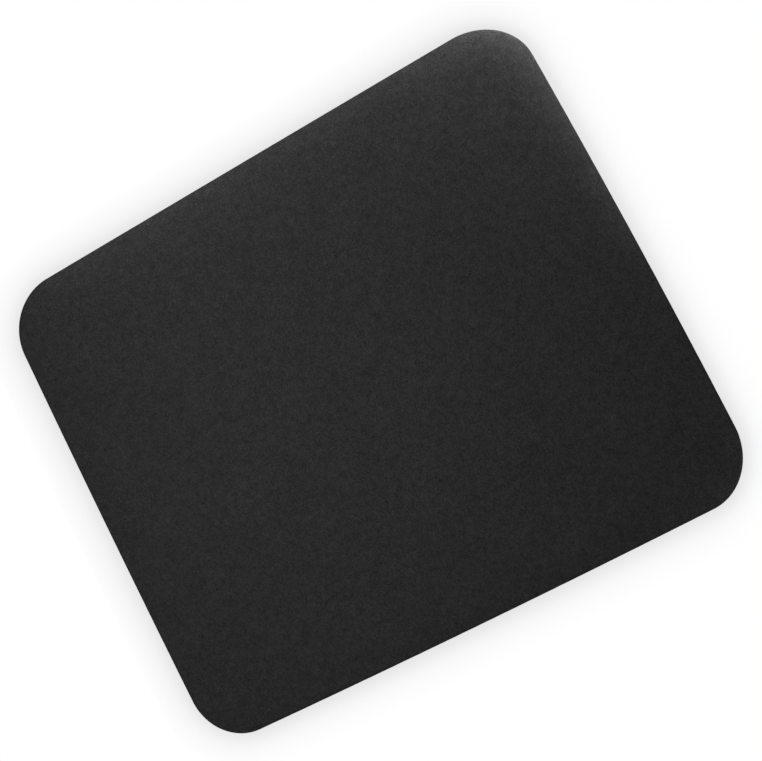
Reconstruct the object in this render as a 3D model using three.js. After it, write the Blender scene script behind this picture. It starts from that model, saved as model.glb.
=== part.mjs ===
// A plain black mouse pad: a rounded rectangle cut from a bonded sheet of cloth, glue and rubber sponge.
// Millimetres, +Z up. The origin is the middle of the underside, and +X runs along the long sides.
import * as THREE from 'three';
import { toCreasedNormals } from 'three/addons/utils/BufferGeometryUtils.js';

// The outline that one die cuts through every layer.
const PAD_LENGTH = 235;
const PAD_WIDTH = 200;
const CORNER_RADIUS = 23.5;

// The die squeezes the soft sheet as it cuts, so the sheet stays thin at the cut and rises over a margin
// to its flat middle. The sharper the curve, the closer to the cut it rises.
const MARGIN_REACH = 16;
const MARGIN_RISE = 1;
const MARGIN_SHARPNESS = 3.3;

// The rubber sponge, which lies on the desk. It springs back after the cut, so its wall is hollow by this
// depth halfway up.
const SPONGE_EDGE_THICKNESS = 3.4;
const WALL_HOLLOW = 0.3;

// The hot-melt film between sponge and cloth.
const GLUE_THICKNESS = 0.1;

// The cloth. The die pinches it thin at the cut, and a small roll brings it to its full thickness.
const CLOTH_EDGE_THICKNESS = 0.15;
const ROLL_RISE = 0.35;
const ROLL_REACH = 0.8;

// Facets round each corner, across the margin, up the hollow wall and over the rolled edge.
const CORNER_FACETS = 20;
const MARGIN_FACETS = 8;
const WALL_FACETS = 6;
const ROLL_FACETS = 4;

// The tightest corner that an outline keeps when it is drawn in.
const TIGHTEST_CORNER = 0.5;

// Edges sharper than this stay crisp when the solids are shaded.
const CREASE_ANGLE = THREE.MathUtils.degToRad(40);

const QUARTER_TURN = Math.PI / 2;

// Evenly spaced fractions from 0 to 1.
function fractions(facets) {
  return Array.from({ length: facets + 1 }, (unused, step) => step / facets);
}

// How far the sheet has risen above its height at the cut, at some distance in from the cut.
function marginRise(inset) {
  const leftToRise = Math.max(0, 1 - inset / MARGIN_REACH);
  return MARGIN_RISE * (1 - leftToRise ** MARGIN_SHARPNESS);
}

function clothThickness(inset) {
  const leftToRoll = Math.max(0, 1 - inset / ROLL_REACH);
  return CLOTH_EDGE_THICKNESS + ROLL_RISE * Math.sqrt(1 - leftToRoll ** 2);
}

// Heights of the faces where the layers meet and of the cloth's upper face.
const spongeTop = (inset) => SPONGE_EDGE_THICKNESS + marginRise(inset);
const glueTop = (inset) => spongeTop(inset) + GLUE_THICKNESS;
const clothTop = (inset) => glueTop(inset) + clothThickness(inset);

// Distances in from the cut at which the faces bend.
const marginInsets = fractions(MARGIN_FACETS).map((part) => MARGIN_REACH * part);
const rollInsets = fractions(ROLL_FACETS).map((part) => ROLL_REACH * (1 - Math.cos(QUARTER_TURN * part)));
const clothInsets = [...rollInsets, ...marginInsets.filter((inset) => inset > ROLL_REACH)];

// A face as levels that run from the cut in to the flat middle.
function face(insets, heightAt) {
  return insets.map((inset) => ({ inset, height: heightAt(inset) }));
}

// The pad's outline, drawn in by an inset, as points running counterclockwise seen from above.
function outline(inset) {
  const radius = Math.max(CORNER_RADIUS - inset, TIGHTEST_CORNER);
  const reachX = PAD_LENGTH / 2 - inset - radius;
  const reachY = PAD_WIDTH / 2 - inset - radius;
  const cornerCentres = [[reachX, reachY], [-reachX, reachY], [-reachX, -reachY], [reachX, -reachY]];
  const shape = new THREE.Shape();
  cornerCentres.forEach(([x, y], corner) => {
    const start = corner * QUARTER_TURN;
    shape.absarc(x, y, radius, start, start + QUARTER_TURN);
  });
  const facetsPerDivision = 2;
  return shape.getPoints(CORNER_FACETS / facetsPerDivision);
}

// A closed solid skinned over outlines, from the flat middle of its lower face, out to the cut, up the wall
// and in to the flat middle of its upper face. Every quad is split from its point nearer the cut, so two
// layers that meet split their shared face alike.
function skinnedSolid(levels) {
  const rings = levels.map(({ inset, height }) => outline(inset).map(({ x, y }) => [x, y, height]));
  const ringSize = rings[0].length;
  const triangles = [];
  for (let level = 0; level < levels.length - 1; level += 1) {
    const runsInward = levels[level + 1].inset > levels[level].inset;
    const low = level * ringSize;
    const high = low + ringSize;
    for (let point = 0; point < ringSize; point += 1) {
      const next = (point + 1) % ringSize;
      if (runsInward) {
        triangles.push(low + point, low + next, high + next);
        triangles.push(low + point, high + next, high + point);
      } else {
        triangles.push(low + point, low + next, high + point);
        triangles.push(low + next, high + next, high + point);
      }
    }
  }
  const topRing = (rings.length - 1) * ringSize;
  for (let point = 1; point < ringSize - 1; point += 1) {
    triangles.push(0, point + 1, point);
    triangles.push(topRing, topRing + point, topRing + point + 1);
  }
  const geometry = new THREE.BufferGeometry();
  geometry.setAttribute('position', new THREE.Float32BufferAttribute(rings.flat(2), 3));
  geometry.setIndex(triangles);
  return toCreasedNormals(geometry, CREASE_ANGLE);
}

function layer(name, levels, finish) {
  const mesh = new THREE.Mesh(skinnedSolid(levels), new THREE.MeshStandardMaterial(finish));
  mesh.name = name;
  return mesh;
}

// Rubber sponge sheet, flat underneath, with the hollow wall of the cut round it.
function spongeBase() {
  const wall = fractions(WALL_FACETS).map((part) => ({
    inset: WALL_HOLLOW * Math.sin(Math.PI * part),
    height: SPONGE_EDGE_THICKNESS * part,
  }));
  const upperFace = face(marginInsets, spongeTop);
  const levels = [...wall.slice(0, -1), ...upperFace];
  return layer('sponge_base', levels, { color: 0x1b1b1c, roughness: 0.95, metalness: 0 });
}

// Hot-melt film that bonds the cloth to the sponge over its whole face.
function glueFilm() {
  const levels = [...face(marginInsets, spongeTop).reverse(), ...face(marginInsets, glueTop)];
  return layer('glue_film', levels, { color: 0x222222, roughness: 0.5, metalness: 0 });
}

// Knitted polyester cloth, rolled over at the cut.
function faceCloth() {
  const levels = [...face(marginInsets, glueTop).reverse(), ...face(clothInsets, clothTop)];
  return layer('face_cloth', levels, { color: 0x2b2b2b, roughness: 0.9, metalness: 0 });
}

const mousePad = new THREE.Group();
mousePad.add(spongeBase(), glueFilm(), faceCloth());

export default mousePad;
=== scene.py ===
import math
import random

import bmesh
import bpy
from mathutils import Matrix, Vector, noise
from mathutils.geometry import delaunay_2d_cdt


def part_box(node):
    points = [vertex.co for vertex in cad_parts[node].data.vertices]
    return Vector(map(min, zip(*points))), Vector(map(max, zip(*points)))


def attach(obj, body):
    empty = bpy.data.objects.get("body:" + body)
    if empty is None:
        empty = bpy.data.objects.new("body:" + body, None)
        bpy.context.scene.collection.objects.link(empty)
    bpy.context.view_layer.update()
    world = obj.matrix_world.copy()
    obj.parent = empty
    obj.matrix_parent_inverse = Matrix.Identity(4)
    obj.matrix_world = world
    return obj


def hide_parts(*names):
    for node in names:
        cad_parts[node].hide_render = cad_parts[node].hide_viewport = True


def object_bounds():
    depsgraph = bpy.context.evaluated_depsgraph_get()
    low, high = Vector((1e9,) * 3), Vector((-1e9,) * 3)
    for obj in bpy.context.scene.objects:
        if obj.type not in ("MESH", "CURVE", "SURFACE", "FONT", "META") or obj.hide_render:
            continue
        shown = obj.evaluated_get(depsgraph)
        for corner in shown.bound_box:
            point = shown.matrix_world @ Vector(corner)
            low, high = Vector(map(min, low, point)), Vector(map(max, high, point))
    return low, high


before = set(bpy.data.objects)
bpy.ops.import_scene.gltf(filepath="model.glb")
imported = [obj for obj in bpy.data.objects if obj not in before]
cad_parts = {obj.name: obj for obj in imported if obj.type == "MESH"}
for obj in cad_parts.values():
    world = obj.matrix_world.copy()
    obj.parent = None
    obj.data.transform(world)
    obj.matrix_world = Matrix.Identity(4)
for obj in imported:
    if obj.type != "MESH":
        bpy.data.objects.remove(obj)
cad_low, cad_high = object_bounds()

# A plain black mouse pad on a white table: cloth, hot-melt film and rubber sponge, bonded as one sheet and
# cut out together by one die. Sizes are in metres, and the origin is the middle of the underside.

# Sponge base: closed-cell rubber sponge, cured in a press whose lower plate moulds diamond studs on its
# underside. The die's steel knife is bent by hand, so its sides bow a little and its corners differ. It
# squeezes the sheet, which stays thin along the cut, and the wall springs back hollow with opened cells.
sponge_low, sponge_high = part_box("sponge_base")
PAD_LENGTH = sponge_high.x - sponge_low.x
PAD_WIDTH = sponge_high.y - sponge_low.y

# How far each corner's curve reaches along the long side and along the short side.
FAR_RIGHT_CORNER = Vector((0.0235, 0.0205))
FAR_LEFT_CORNER = Vector((0.0230, 0.0230))
NEAR_LEFT_CORNER = Vector((0.0200, 0.0210))
NEAR_RIGHT_CORNER = Vector((0.0200, 0.0230))
corner_reaches = [FAR_RIGHT_CORNER, FAR_LEFT_CORNER, NEAR_LEFT_CORNER, NEAR_RIGHT_CORNER]

# How far each side falls in towards its ends.
BOW_RIGHT = 0.0012
BOW_FAR = 0.0001
BOW_LEFT = 0.0006
BOW_NEAR = 0.0011

# The margin, over which the squeezed sheet rises from the cut to its flat middle.
MARGIN_REACH = 0.016
MARGIN_RISE = 0.001
MARGIN_SHARPNESS = 3.3
MARGIN_RINGS = 8
FACE_POINTS = 320
SPONGE_EDGE_THICKNESS = sponge_high.z - MARGIN_RISE

# The wall, and the cells that the knife opens in it, which fade out towards its top and bottom.
WALL_HOLLOW = 0.0003
WALL_POINTS = 2000
WALL_ROWS = 9
CELL_SIZE = 0.0009
CELL_DEPTH = 0.00012
CELL_STEEPNESS = 2.5
CELL_FADE = 3

# The studs, and the grooves between them, on a press sheet that is thicker than the pad.
STUD_PITCH = 0.003
STUD_TURN = math.radians(45)
GROOVE_DEPTH = 0.00025
GROOVE_MOUTH = 0.0009
GROOVE_FLOOR = 0.0004
PRESS_SHEET_THICKNESS = 2 * sponge_high.z
CRISP_ANGLE = math.radians(38)


def bent_knife(point):
    """Where the knife passes for a point of the true outline: its sides fall in towards their ends."""
    half_x = PAD_LENGTH / 2
    half_y = PAD_WIDTH / 2
    bow_x = BOW_RIGHT if point.x > 0 else BOW_LEFT
    bow_y = BOW_FAR if point.y > 0 else BOW_NEAR
    fall_x = bow_x / half_x * (point.y / half_y) ** 2
    fall_y = bow_y / half_y * (point.x / half_x) ** 2
    return Vector((point.x * (1 - fall_x), point.y * (1 - fall_y)))


def cut_line(count):
    """Points along the cut, counterclockwise and evenly spaced, each with its way out of the pad."""
    half_size = Vector((PAD_LENGTH / 2, PAD_WIDTH / 2))
    quadrants = [Vector((1, 1)), Vector((-1, 1)), Vector((-1, -1)), Vector((1, -1))]
    centres = [(half_size - reach) * quadrant for reach, quadrant in zip(corner_reaches, quadrants)]
    arcs = [math.pi / 2 * reach.length / math.sqrt(2) for reach in corner_reaches]
    sides = [abs((centres[corner] - centres[(corner + 1) % 4])[corner % 2]) for corner in range(4)]
    lengths = [arc + side for arc, side in zip(arcs, sides)]
    line = []
    for step in range(count):
        along = sum(lengths) * step / count
        corner = 0
        while along >= lengths[corner]:
            along -= lengths[corner]
            corner += 1
        reach = corner_reaches[corner]
        angle = math.pi / 2 * (corner + min(along / arcs[corner], 1))
        bend = Vector((math.cos(angle) * reach.x, math.sin(angle) * reach.y))
        out = Vector((math.cos(angle) / reach.x, math.sin(angle) / reach.y)).normalized()
        onward = Vector((-out.y, out.x)) * max(along - arcs[corner], 0)
        line.append((bent_knife(centres[corner] + bend + onward), out))
    return line


def ring(inset, height, count):
    """A closed line round the pad, at one distance in from the cut and at one height."""
    return [(point - out * inset).to_3d() + Vector((0, 0, height)) for point, out in cut_line(count)]


def margin_rise(inset):
    """How far the sheet has risen above its height at the cut."""
    left_to_rise = max(0, 1 - inset / MARGIN_REACH)
    return MARGIN_RISE * (1 - left_to_rise ** MARGIN_SHARPNESS)


def sponge_top(inset):
    return SPONGE_EDGE_THICKNESS + margin_rise(inset)


margin_insets = [MARGIN_REACH * step / MARGIN_RINGS for step in range(1, MARGIN_RINGS + 1)]


def margin_face(height_at, cut_points):
    """Rings of a face that follows the margin: a fine one along the cut, and coarser ones inside it."""
    rings = [ring(0, height_at(0), cut_points)]
    rings += [ring(inset, height_at(inset), FACE_POINTS) for inset in margin_insets]
    return rings


def cut_wall(share):
    """A line round the sponge's wall at a share of its height, with the cells that the knife has opened."""
    height = SPONGE_EDGE_THICKNESS * share
    hollow = math.sin(math.pi * share)
    line = []
    for point, out in cut_line(WALL_POINTS):
        place = point.to_3d() + Vector((0, 0, height))
        nearest_cell = noise.voronoi(place / CELL_SIZE)[0][0]
        opened = max(0, 1 - CELL_STEEPNESS * nearest_cell ** 2)
        depth = WALL_HOLLOW * hollow + CELL_DEPTH * opened * min(1, CELL_FADE * hollow)
        line.append(place - (out * depth).to_3d())
    return line


def fill(vertices, loops, points):
    """Triangles that fill the widest loop through the loops inside it and the loose points, facing up."""
    used = [index for loop in loops for index in loop] + list(points)
    order = {index: place for place, index in enumerate(used)}
    edges = []
    for loop in loops:
        for index, following in zip(loop, [*loop[1:], loop[0]]):
            edges.append((order[index], order[following]))
    inside_only = 1
    merge_distance = 1e-8
    flat = [vertices[index].to_2d() for index in used]
    made = delaunay_2d_cdt(flat, edges, [], inside_only, merge_distance)
    triangles, origins = made[2], made[3]
    return [[used[origins[corner][0]] for corner in triangle] for triangle in triangles]


def lay_up(name, lower_rings, wall_rings, upper_rings, inner_points=()):
    """A closed layer: two faces, each from rings that run in from the cut, and a wall between them."""
    vertices = []
    indices = []
    for points in [*lower_rings, *wall_rings, *upper_rings, inner_points]:
        indices.append(range(len(vertices), len(vertices) + len(points)))
        vertices.extend(points)
    lower = indices[:len(lower_rings)]
    wall = indices[len(lower_rings):len(lower_rings) + len(wall_rings)]
    upper = indices[len(lower_rings) + len(wall_rings):-1]
    faces = [triangle[::-1] for triangle in fill(vertices, lower, [])]
    faces += fill(vertices, upper, indices[-1])
    courses = [lower[0], *wall, upper[0]]
    for low, high in zip(courses, courses[1:]):
        for here in range(len(low)):
            following = (here + 1) % len(low)
            faces.append([low[here], low[following], high[following]])
            faces.append([low[here], high[following], high[here]])
    mesh = bpy.data.meshes.new(name)
    mesh.from_pydata(vertices, [], faces)
    mesh.validate()
    piece = bpy.data.objects.new(name, mesh)
    bpy.context.scene.collection.objects.link(piece)
    return piece


def stud_corners(sheet, middle, half_side, height):
    """The four corners of a stud at one height, with the rows of studs turned."""
    turned = Matrix.Rotation(STUD_TURN, 3, "Z")
    corners = []
    for x, y in ((-1, -1), (1, -1), (1, 1), (-1, 1)):
        corner = middle + Vector((x * half_side, y * half_side, height))
        corners.append(sheet.verts.new(turned @ corner))
    return corners


def press_sheet():
    """The sponge as it leaves the press: a sheet wider than the pad, with studs all over its underside."""
    half_top = (STUD_PITCH - GROOVE_MOUTH) / 2
    half_foot = (STUD_PITCH - GROOVE_FLOOR) / 2
    reach = (PAD_LENGTH + PAD_WIDTH) / 2 / math.sqrt(2)
    rows = 2 * math.ceil(reach / STUD_PITCH + 1)
    sheet = bmesh.new()
    feet = {}
    for row in range(rows):
        for column in range(rows):
            middle = Vector((column - (rows - 1) / 2, row - (rows - 1) / 2, 0)) * STUD_PITCH
            top = stud_corners(sheet, middle, half_top, 0)
            foot = stud_corners(sheet, middle, half_foot, GROOVE_DEPTH)
            sheet.faces.new(top[::-1])
            for side in range(4):
                after = (side + 1) % 4
                sheet.faces.new([top[side], top[after], foot[after], foot[side]])
            feet[column, row] = foot
            left = feet.get((column - 1, row))
            near = feet.get((column, row - 1))
            if left:
                sheet.faces.new([left[1], left[2], foot[3], foot[0]])
            if near:
                sheet.faces.new([near[3], foot[0], foot[1], near[2]])
            if left and near:
                diagonal = feet[column - 1, row - 1]
                sheet.faces.new([diagonal[2], left[1], foot[0], near[3]])
    rim = [edge for edge in sheet.edges if edge.is_boundary]
    raised = bmesh.ops.extrude_edge_only(sheet, edges=rim)["geom"]
    lid_corners = [part for part in raised if isinstance(part, bmesh.types.BMVert)]
    bmesh.ops.translate(sheet, verts=lid_corners, vec=(0, 0, PRESS_SHEET_THICKNESS))
    lid_edges = [part for part in raised if isinstance(part, bmesh.types.BMEdge) and part.is_boundary]
    bmesh.ops.edgeloop_fill(sheet, edges=lid_edges)
    bmesh.ops.recalc_face_normals(sheet, faces=sheet.faces)
    mesh = bpy.data.meshes.new("press_sheet")
    sheet.to_mesh(mesh)
    sheet.free()
    pressed = bpy.data.objects.new("press_sheet", mesh)
    bpy.context.scene.collection.objects.link(pressed)
    return pressed


def cut_from(piece, sheet):
    """Leaves only what a piece shares with a sheet, which is used up. Many-sided faces become triangles."""
    cut_out = piece.modifiers.new("cut_out", "BOOLEAN")
    cut_out.operation = "INTERSECT"
    cut_out.solver = "MANIFOLD"
    cut_out.object = sheet
    many_sided_faces = piece.modifiers.new("many_sided_faces", "TRIANGULATE")
    many_sided_faces.min_vertices = 5
    shared = piece.evaluated_get(bpy.context.evaluated_depsgraph_get())
    mesh = bpy.data.meshes.new_from_object(shared)
    piece.modifiers.clear()
    piece.data = mesh
    bpy.data.objects.remove(sheet)


def soften(piece):
    """Shades a piece smooth, apart from its crisp edges."""
    piece.data.shade_smooth()
    piece.data.set_sharp_from_angle(angle=CRISP_ANGLE)


# The knife goes deeper than the studs, so that the sheet's own underside shows on the pad.
sponge_base = lay_up(
    "sponge_base_moulded",
    lower_rings=[ring(0, -GROOVE_DEPTH, WALL_POINTS)],
    wall_rings=[cut_wall(row / WALL_ROWS) for row in range(WALL_ROWS)],
    upper_rings=margin_face(sponge_top, WALL_POINTS),
)
cut_from(sponge_base, press_sheet())
soften(sponge_base)


def new_finish(piece, name):
    """Gives a piece a material of its own, and returns that material's nodes and its shader."""
    finish = bpy.data.materials.new(name + "_finish")
    finish.use_nodes = True
    piece.data.materials.clear()
    piece.data.materials.append(finish)
    return finish.node_tree, finish.node_tree.nodes["Principled BSDF"]


def plug(tree, node, inputs):
    """Sets a node's inputs, by name or number: another node's output is wired, and a plain value is set."""
    for socket, value in inputs.items():
        if isinstance(value, bpy.types.NodeSocket):
            tree.links.new(value, node.inputs[socket])
        else:
            node.inputs[socket].default_value = value


def add(tree, kind, inputs=(), **settings):
    """A new node with its settings made and its inputs plugged."""
    node = tree.nodes.new("ShaderNode" + kind)
    for setting, value in settings.items():
        setattr(node, setting, value)
    plug(tree, node, dict(inputs))
    return node


def maths(tree, operation, *values):
    return add(tree, "Math", enumerate(values), operation=operation).outputs[0]


def axes(tree, vector):
    """The three parts of a vector."""
    return add(tree, "SeparateXYZ", {"Vector": vector}).outputs


def spread(tree, value, span, results):
    """A value carried from a span of its own to a span of results, and held at the ends."""
    return add(tree, "MapRange", enumerate([value, *span, *results])).outputs[0]


def cloud(tree, place, size, detail=2, roughness=0.5):
    """A cloudy texture whose largest clouds are of about that size: its grain and its colour."""
    inputs = {"Vector": place, "Scale": 1 / size, "Detail": detail, "Roughness": roughness}
    return add(tree, "TexNoise", inputs).outputs


def two_tone(tree, share, first, second):
    """A colour that runs from the first to the second. A mix of colours has inputs 6 and 7 and output 2."""
    return add(tree, "Mix", {0: share, 6: first, 7: second}, data_type="RGBA").outputs[2]


def relief(tree, height, distance, strength):
    """The way a surface faces that stands up by a distance where the height is 1."""
    return add(tree, "Bump", {"Height": height, "Distance": distance, "Strength": strength}).outputs[0]


# Rubber: dull and full of cells where it is cut, with a smoother moulded skin underneath. A pale bloom
# clouds it, and the studs' tops are scuffed. The opened cells are painted darker, as shade in their
# hollows.
RUBBER = (0.0175, 0.0175, 0.0180, 1)
RUBBER_BLOOM = (0.0290, 0.0290, 0.0295, 1)
RUBBER_PIT_SHADE = (0.0045, 0.0045, 0.0047, 1)
RUBBER_GLOSS = 0.25
CUT_ROUGHNESS = 0.92
SKIN_ROUGHNESS = 0.66
BLOOM_ROUGHNESS = 0.12
SKIN_FACES_DOWN = (-0.35, -0.6)
FINE_CELL_SIZE = 0.00042
FINE_CELL_LIP = (0.04, 0.3)
CELL_BEND = 0.0006
CELL_BEND_SIZE = 0.0009
BURST_SIZE = 0.0014
BURST_SPAN = (0.4, 0.62)
LEAST_BURST = 0.35
BLOOM_SIZE = 0.006
BLOOM_SPAN = (0.35, 0.7)
BLOOM_SHARE = 0.45
STUD_TOP_HEIGHTS = (0.00001, 0.00006)
SCUFF_SIZE = 0.0015
SCUFF_SPAN = (0.45, 0.65)
FINE_GRAIN_SIZE = 0.00025
FINE_GRAIN_SHARE = 0.35
PIT_DEPTH = 0.00012
PIT_STRENGTH = 0.7
tree, shader = new_finish(sponge_base, "rubber_sponge")
where = add(tree, "TexCoord").outputs
place = where["Object"]
skin = spread(tree, axes(tree, where["Normal"])["Z"], SKIN_FACES_DOWN, (0, 1))
bends = cloud(tree, place, CELL_BEND_SIZE)["Color"]
bent_place = add(tree, "VectorMath", {0: bends, 1: [CELL_BEND] * 3, 2: place}, operation="MULTIPLY_ADD")
cell_inputs = {"Vector": bent_place.outputs[0], "Scale": 1 / FINE_CELL_SIZE}
cells = add(tree, "TexVoronoi", cell_inputs, feature="DISTANCE_TO_EDGE")
hollows = spread(tree, cells.outputs["Distance"], FINE_CELL_LIP, (0, 1))
burst = spread(tree, cloud(tree, place, BURST_SIZE, roughness=0.6)["Fac"], BURST_SPAN, (LEAST_BURST, 1))
opened = maths(tree, "MULTIPLY", hollows, burst)
# The hollows of the opened cells on the cut wall: the bump sinks them, and the colour paints shade in them.
shaded_pits = maths(tree, "MULTIPLY", opened, maths(tree, "SUBTRACT", 1, skin))
cloudy = spread(tree, cloud(tree, place, BLOOM_SIZE, detail=4, roughness=0.6)["Fac"], BLOOM_SPAN, (0, 1))
scuffs = spread(tree, cloud(tree, place, SCUFF_SIZE, detail=3, roughness=0.7)["Fac"], SCUFF_SPAN, (0, 1))
stud_tops = spread(tree, axes(tree, place)["Z"], STUD_TOP_HEIGHTS, (1, 0))
scuffed = maths(tree, "MULTIPLY", stud_tops, scuffs)
bloom = maths(tree, "MAXIMUM", maths(tree, "MULTIPLY", cloudy, BLOOM_SHARE), scuffed)
rubber = two_tone(tree, bloom, RUBBER, RUBBER_BLOOM)
dullness = spread(tree, skin, (0, 1), (CUT_ROUGHNESS, SKIN_ROUGHNESS))
fine_grain = maths(tree, "MULTIPLY", cloud(tree, place, FINE_GRAIN_SIZE, detail=3)["Fac"], FINE_GRAIN_SHARE)
plug(tree, shader, {
    "Base Color": two_tone(tree, shaded_pits, rubber, RUBBER_PIT_SHADE),
    "Roughness": maths(tree, "ADD", dullness, maths(tree, "MULTIPLY", bloom, BLOOM_ROUGHNESS)),
    "Specular IOR Level": RUBBER_GLOSS,
    "Normal": relief(tree, maths(tree, "SUBTRACT", fine_grain, shaded_pits), PIT_DEPTH, PIT_STRENGTH),
})
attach(sponge_base, "root")
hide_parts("sponge_base")

# Glue film: a web of hot-melt adhesive that bonds the cloth to the sponge over the whole face. Heat and
# rollers press it between them, and where the die cuts through it a thin uneven bead stays.
FILM_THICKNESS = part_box("glue_film")[1].z - sponge_high.z
FILM_POINTS = 900
BEAD_REACH = 0.00006
BEAD_LENGTH = 0.004


def film_top(inset):
    return sponge_top(inset) + FILM_THICKNESS


def cut_bead():
    """The line halfway up the film's cut, where a little of the adhesive has been pressed out."""
    height = sponge_top(0) + FILM_THICKNESS / 2
    line = []
    for point, out in cut_line(FILM_POINTS):
        swell = BEAD_REACH * (0.5 + 0.5 * noise.noise(point.to_3d() / BEAD_LENGTH))
        line.append((point + out * swell).to_3d() + Vector((0, 0, height)))
    return line


glue_film = lay_up(
    "glue_film_pressed",
    lower_rings=margin_face(sponge_top, FILM_POINTS),
    wall_rings=[cut_bead()],
    upper_rings=margin_face(film_top, FILM_POINTS),
)
soften(glue_film)

# Hot melt: dark and half dull, thinner and paler where it has flowed.
HOT_MELT = (0.012, 0.012, 0.0125, 1)
HOT_MELT_THIN = (0.018, 0.018, 0.019, 1)
HOT_MELT_GLOSS = 0.15
HOT_MELT_ROUGHNESS = (0.6, 0.85)
FLOW_SIZE = 0.002
FLOW_SPAN = (0.35, 0.65)
FLOW_HEIGHT = 0.00004
FLOW_STRENGTH = 0.6
SMEAR_SIZE = 0.0008
SMEAR_SPAN = (0.3, 0.7)
tree, shader = new_finish(glue_film, "hot_melt")
place = add(tree, "TexCoord").outputs["Object"]
flow = cloud(tree, place, FLOW_SIZE, detail=4, roughness=0.6)["Fac"]
smears = cloud(tree, place, SMEAR_SIZE)["Fac"]
plug(tree, shader, {
    "Base Color": two_tone(tree, spread(tree, flow, FLOW_SPAN, (0, 1)), HOT_MELT, HOT_MELT_THIN),
    "Roughness": spread(tree, smears, SMEAR_SPAN, HOT_MELT_ROUGHNESS),
    "Specular IOR Level": HOT_MELT_GLOSS,
    "Normal": relief(tree, flow, FLOW_HEIGHT, FLOW_STRENGTH),
})
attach(glue_film, "root")
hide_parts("glue_film")

# Face cloth: a fine weft knit of black polyester, calendered smooth. It follows the sponge down over the
# margin. The die pinches it thin at the cut, so its edge rolls over and shows a row of cut yarn ends.
cloth_low, cloth_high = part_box("face_cloth")
CLOTH_EDGE_THICKNESS = 0.00015
ROLL_RISE = 0.00035
ROLL_REACH = 0.0008
ROLL_RINGS = 5
ROLL_POINTS = 1840
YARN_END_SIZE = 0.0006
YARN_END_REACH = 0.00003
CLOTH_POINTS = 560
CLOTH_STEP = 0.0018
CLOTH_STRAY = 0.2
CLOTH_SEED = 5
RIPPLE_SIZE = 0.007
RIPPLE_HEIGHT = 0.000012


def cloth_thickness(inset):
    left_to_roll = max(0, 1 - inset / ROLL_REACH)
    return CLOTH_EDGE_THICKNESS + ROLL_RISE * math.sqrt(1 - left_to_roll ** 2)


def rippled(point):
    """A point of the upper face, moved by the faint ripple that calendering leaves."""
    ripple = noise.noise(Vector((point.x, point.y, 0)) / RIPPLE_SIZE)
    return point + Vector((0, 0, RIPPLE_HEIGHT * (ripple - 1)))


def cloth_ring(inset, count):
    """A ring of the upper face. Along the roll the cut yarn ends make it uneven."""
    height = film_top(inset) + cloth_thickness(inset)
    roughness = YARN_END_REACH * max(0, 1 - inset / ROLL_REACH)
    line = []
    for point, out in cut_line(count):
        pulled_in = roughness * (1 + noise.noise(point.to_3d() / YARN_END_SIZE))
        line.append(rippled((point - out * (inset + pulled_in)).to_3d() + Vector((0, 0, height))))
    return line


def flat_middle():
    """Loose points over the flat middle of the upper face, in staggered rows inside the margin."""
    draw = random.Random(CLOTH_SEED)
    half_x = PAD_LENGTH / 2 - MARGIN_REACH - BOW_RIGHT
    half_y = PAD_WIDTH / 2 - MARGIN_REACH - BOW_NEAR
    radius = max(max(reach) for reach in corner_reaches) - MARGIN_REACH
    last_row = math.floor(half_y / CLOTH_STEP)
    last_column = math.floor(half_x / CLOTH_STEP)
    points = []
    for row in range(-last_row, last_row + 1):
        for column in range(-last_column, last_column + 1):
            x = CLOTH_STEP * (column + 0.5 * (row % 2) + CLOTH_STRAY * draw.uniform(-1, 1))
            y = CLOTH_STEP * (row + CLOTH_STRAY * draw.uniform(-1, 1))
            past_x = max(0, abs(x) - half_x + radius)
            past_y = max(0, abs(y) - half_y + radius)
            if math.hypot(past_x, past_y) < radius - CLOTH_STEP / 2:
                points.append(rippled(Vector((x, y, cloth_high.z))))
    return points


roll_turns = [math.pi / 2 * step / ROLL_RINGS for step in range(ROLL_RINGS + 1)]
roll = [cloth_ring(ROLL_REACH * (1 - math.cos(turn)), ROLL_POINTS) for turn in roll_turns]
slope = [cloth_ring(inset, CLOTH_POINTS) for inset in margin_insets]
face_cloth = lay_up(
    "face_cloth_knit",
    lower_rings=margin_face(film_top, ROLL_POINTS),
    wall_rings=[],
    upper_rings=[*roll, *slope],
    inner_points=flat_middle(),
)
soften(face_cloth)

# Knit: stitches in wales along the short side and courses along the long side, painted darker between
# their loops, as shade. The lustre changes from one stitch to the next: in roughness, and in a painted
# sheen that makes some stitches lighter and some darker. Nap and dye are uneven, the rolled edge of the cut
# is painted darker, as shade, and a few specks of lint are paler.
YARN = (0.0219, 0.0219, 0.0219)
YARN_GLOSS = 0.05
YARN_ROUGHNESS = (0.95, 0.8)
YARN_SHEEN = 0.05
YARN_SHEEN_ROUGHNESS = 0.5
YARN_SHEEN_TINT = (0.3, 0.3, 0.3, 1)
WALE_PITCH = 0.00045
COURSE_PITCH = 0.00036
SWAY_SIZE = 0.004
STITCH_SLANT = 1.3
STITCH_HEIGHT = 0.00006
STITCH_STRENGTH = 0.8
STITCH_SHADE_TONES = (0.75, 1.25)
PAINTED_SHEEN_TONES = (0.60, 1.40)
NAP_SIZE = 0.0028
NAP_SPAN = (0.2, 0.8)
NAP_TONES = (0.66, 1.34)
DYE_SIZE = 0.014
DYE_SPAN = (0.3, 0.7)
DYE_TONES = (0.95, 1.05)
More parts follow.
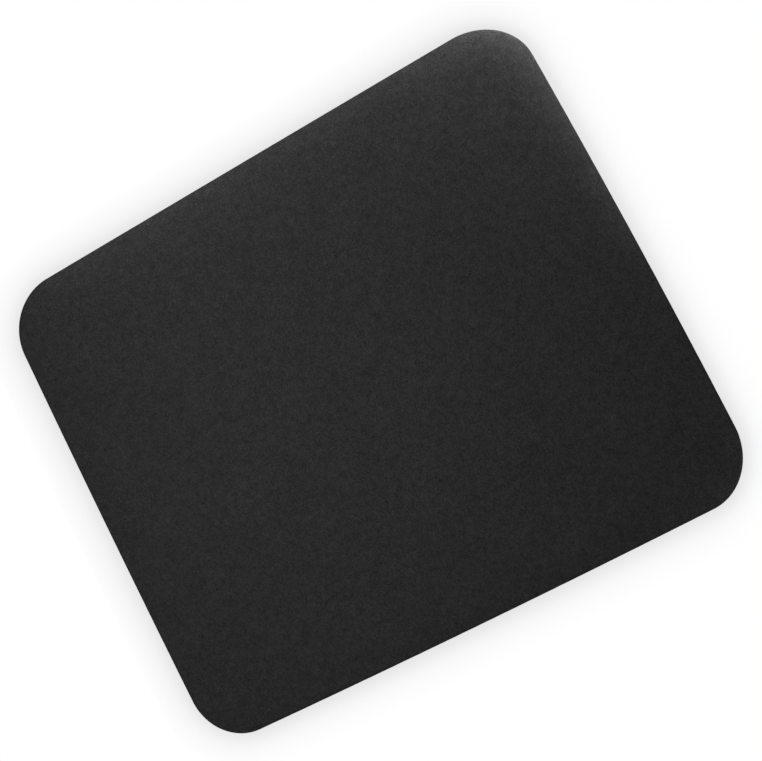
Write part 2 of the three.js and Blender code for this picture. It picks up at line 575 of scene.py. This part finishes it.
# Painted shade: below these heights the rolled edge of the cut is darker.
ROLL_SHADE_HEIGHTS = (cloth_low.z + 0.00025, cloth_low.z + 0.00075)
ROLL_SHADE_TONE = 0.5
LINT_SPACING = 0.018
LINT_SIZE = 0.00022
LINT_FREE_SHARE = 0.6
LINT_LIGHTER = 0.9
tree, shader = new_finish(face_cloth, "knit_cloth")
place = add(tree, "TexCoord").outputs["Object"]
across, along, up = axes(tree, place)
sway = axes(tree, cloud(tree, place, SWAY_SIZE)["Color"])
wale = maths(tree, "ADD", maths(tree, "DIVIDE", across, WALE_PITCH), sway["X"])
course = maths(tree, "ADD", maths(tree, "DIVIDE", along, COURSE_PITCH), sway["Y"])
from_middle = maths(tree, "ABSOLUTE", maths(tree, "SUBTRACT", maths(tree, "FRACT", wale), 0.5))
slanted = maths(tree, "MULTIPLY_ADD", from_middle, STITCH_SLANT, course)
leg = maths(tree, "SINE", maths(tree, "MULTIPLY", from_middle, math.tau))
loop = maths(tree, "SINE", maths(tree, "MULTIPLY", maths(tree, "FRACT", slanted), math.pi))
stitch = maths(tree, "MULTIPLY", leg, maths(tree, "MULTIPLY_ADD", loop, 0.5, 0.5))
leg_number = maths(tree, "FLOOR", maths(tree, "MULTIPLY", wale, 2))
leg_and_course = add(tree, "CombineXYZ", {"X": leg_number, "Y": maths(tree, "FLOOR", slanted)}).outputs[0]
# A random number for each stitch: it sets the stitch's roughness and a painted sheen on its colour.
lustre_and_painted_sheen = add(tree, "TexWhiteNoise", {"Vector": leg_and_course}, noise_dimensions="2D").outputs["Value"]
nap = cloud(tree, place, NAP_SIZE, detail=3, roughness=0.8)["Fac"]
dye = cloud(tree, place, DYE_SIZE)["Fac"]
# Painted shade: each stitch is darker between its loops, where its own relief would shade it.
tone_shade_and_sheen = spread(tree, stitch, (0, 1), STITCH_SHADE_TONES)
# Each of these scales the colour: painted sheen by stitch, uneven nap and dye, and painted shade along the
# rolled edge.
for uneven, span, tones in (
    (lustre_and_painted_sheen, (0, 1), PAINTED_SHEEN_TONES),
    (nap, NAP_SPAN, NAP_TONES),
    (dye, DYE_SPAN, DYE_TONES),
    (up, ROLL_SHADE_HEIGHTS, (ROLL_SHADE_TONE, 1)),
):
    tone_shade_and_sheen = maths(tree, "MULTIPLY", tone_shade_and_sheen, spread(tree, uneven, span, tones))
lint_inputs = {"Vector": place, "Scale": 1 / LINT_SPACING}
lint_spots = add(tree, "TexVoronoi", lint_inputs, voronoi_dimensions="2D").outputs
lint_chance = axes(tree, lint_spots["Color"])["X"]
lint_size = spread(tree, lint_chance, (LINT_FREE_SHARE, 1), (0, LINT_SIZE / LINT_SPACING))
lint = maths(tree, "LESS_THAN", lint_spots["Distance"], lint_size)
tone_shade_and_sheen = maths(tree, "MULTIPLY_ADD", lint, LINT_LIGHTER, tone_shade_and_sheen)
plug(tree, shader, {
    "Base Color": add(tree, "VectorMath", {0: YARN, "Scale": tone_shade_and_sheen}, operation="SCALE").outputs[0],
    "Roughness": spread(tree, lustre_and_painted_sheen, (0, 1), YARN_ROUGHNESS),
    "Specular IOR Level": YARN_GLOSS,
    "Sheen Weight": YARN_SHEEN,
    "Sheen Roughness": YARN_SHEEN_ROUGHNESS,
    "Sheen Tint": YARN_SHEEN_TINT,
    "Normal": relief(tree, stitch, STITCH_HEIGHT, STITCH_STRENGTH),
})
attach(face_cloth, "root")
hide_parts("face_cloth")

# Table: a smooth white sweep under the pad, lit from all sides. The pad keeps light from it close to the
# cut, so a soft shadow rings the pad. It is a little deeper on the far left, because the sweep is taken
# as a little brighter to the near right.
TABLE_SIDE = 6.0
TABLE_GAP = 0.00002
TABLE_WHITE = (0.8, 0.8, 0.8, 1)
TABLE_ROUGHNESS = 0.9
SHADOW_REACH = 0.0165
SHADOW_DEPTH = 0.21
SHADOW_SOFTNESS = 0.115
SHADOW_LEAN = Vector((0.100, -0.040, 1)).normalized()
SHADOW_SAMPLES = 32
UNDER_PAD_SPAN = (0.55, 0.85)
UNDER_PAD_LIGHT = 0.02
table_mesh = bpy.data.meshes.new("table")
half_table = TABLE_SIDE / 2
table_height = cad_low.z - TABLE_GAP
table_corners = [
    (-half_table, -half_table, table_height),
    (half_table, -half_table, table_height),
    (half_table, half_table, table_height),
    (-half_table, half_table, table_height),
]
table_mesh.from_pydata(table_corners, [], [(0, 1, 2, 3)])
table = bpy.data.objects.new("table", table_mesh)
bpy.context.scene.collection.objects.link(table)


def seen_directly(tree):
    """1 for rays that show the table or the sweep themselves, and 0 for the rays that light the pad."""
    path = add(tree, "LightPath").outputs
    seen = maths(tree, "MAXIMUM", path["Is Camera Ray"], path["Is Glossy Ray"])
    return maths(tree, "MAXIMUM", seen, path["Is Transmission Ray"])


tree, shader = new_finish(table, "white_table")
plug(tree, shader, {"Base Color": TABLE_WHITE, "Roughness": TABLE_ROUGHNESS, "Specular IOR Level": 0})
lean = add(tree, "CombineXYZ", enumerate(SHADOW_LEAN)).outputs[0]
sky_inputs = {"Distance": SHADOW_REACH, "Normal": lean}
open_sky = add(tree, "AmbientOcclusion", sky_inputs, samples=SHADOW_SAMPLES).outputs["AO"]
hidden_sky = maths(tree, "SUBTRACT", 1, open_sky)
fading = maths(tree, "EXPONENT", maths(tree, "DIVIDE", hidden_sky, -SHADOW_SOFTNESS))
ringed = maths(tree, "MULTIPLY_ADD", fading, SHADOW_DEPTH, 1 - SHADOW_DEPTH)
past_the_cut = spread(tree, hidden_sky, UNDER_PAD_SPAN, (1, UNDER_PAD_LIGHT))
glow = add(tree, "Emission", {"Strength": maths(tree, "MULTIPLY", ringed, past_the_cut)})
shown = add(tree, "MixShader", {0: seen_directly(tree), 1: shader.outputs[0], 2: glow.outputs[0]})
plug(tree, tree.nodes["Material Output"], {"Surface": shown.outputs[0]})

# Studio: soft light from all round, and a square lamp overhead, left of the middle. Four low strip lamps
# stand along the far side, at the far right corner, along the right side and at the near right corner. They
# graze the cloth's margin, and flags keep their light off the wall and the table.
WHITE = (1, 1, 1, 1)
SOFT_LIGHT = 0.436
world = bpy.data.worlds.new("studio")
world.use_nodes = True
bpy.context.scene.world = world
tree = world.node_tree
soft = tree.nodes["Background"]
plug(tree, soft, {"Color": WHITE, "Strength": SOFT_LIGHT})
white = add(tree, "Background", {"Color": WHITE, "Strength": 1})
around = add(tree, "MixShader", {0: seen_directly(tree), 1: soft.outputs[0], 2: white.outputs[0]})
plug(tree, tree.nodes["World Output"], {"Surface": around.outputs[0]})


def hang_lamp(name, place, aim, size, watts):
    """A rectangular lamp that doesn't show itself."""
    light = bpy.data.lights.new(name, "AREA")
    light.shape = "RECTANGLE"
    light.size, light.size_y = size
    light.energy = watts
    lamp = bpy.data.objects.new(name, light)
    lamp.location = place
    lamp.rotation_euler = (Vector(aim) - Vector(place)).to_track_quat("-Z", "Y").to_euler()
    lamp.visible_camera = False
    bpy.context.scene.collection.objects.link(lamp)
    return lamp


hang_lamp(
    "overhead_lamp",
    place=(-0.052, 0.005, 0.200),
    aim=(-0.052, 0.005, 0.005),
    size=(0.12, 0.12),
    watts=0.235,
)
far_side_lamp = hang_lamp(
    "far_side_lamp",
    place=(0.014, 0.150, 0.026),
    aim=(0.014, 0, 0.005),
    size=(0.22, 0.02),
    watts=0.145,
)
far_corner_lamp = hang_lamp(
    "far_corner_lamp",
    place=(0.1415, 0.1125, 0.0079),
    aim=(0.06, 0.04, 0.005),
    size=(0.06, 0.008),
    watts=0.200,
)
right_side_lamp = hang_lamp(
    "right_side_lamp",
    place=(0.140, 0.045, 0.0065),
    aim=(0.06, 0.045, 0.005),
    size=(0.08, 0.006),
    watts=0.030,
)
near_corner_lamp = hang_lamp(
    "near_corner_lamp",
    place=(0.146, -0.1285, 0.004),
    aim=(0.10, -0.083, 0.004),
    size=(0.05, 0.006),
    watts=0.034,
)
lit_by_low_lamps = bpy.data.collections.new("lit_by_low_lamps")
lit_by_low_lamps.objects.link(face_cloth)
for lamp in (far_side_lamp, far_corner_lamp, right_side_lamp, near_corner_lamp):
    lamp.light_linking.receiver_collection = lit_by_low_lamps

# Camera: close above the right half of the pad, leaning a little to look at its middle. It is turned, so
# that the pad lies slanted across the picture.
LENS = 55.70
SENSOR_WIDTH = 36
CUT_HEIGHT = cloth_low.z + CLOTH_EDGE_THICKNESS / 2
CAMERA_ABOVE_CUT = 0.4404
CAMERA_RIGHT = 0.0927
CAMERA_NEAR = 0.0424
CAMERA_TIP = math.radians(-0.290)
CAMERA_LEAN = math.radians(11.907)
CAMERA_TURN = math.radians(-27.729)
camera_data = bpy.data.cameras.new("camera")
camera_data.sensor_width = SENSOR_WIDTH
camera_data.lens = LENS
camera = bpy.data.objects.new("camera", camera_data)
camera.location = (CAMERA_RIGHT, -CAMERA_NEAR, CUT_HEIGHT + CAMERA_ABOVE_CUT)
camera.rotation_mode = "YXZ"
camera.rotation_euler = (CAMERA_TIP, CAMERA_LEAN, CAMERA_TURN)
bpy.context.scene.collection.objects.link(camera)
bpy.context.scene.camera = camera
bpy.context.scene.view_settings.view_transform = "Standard"
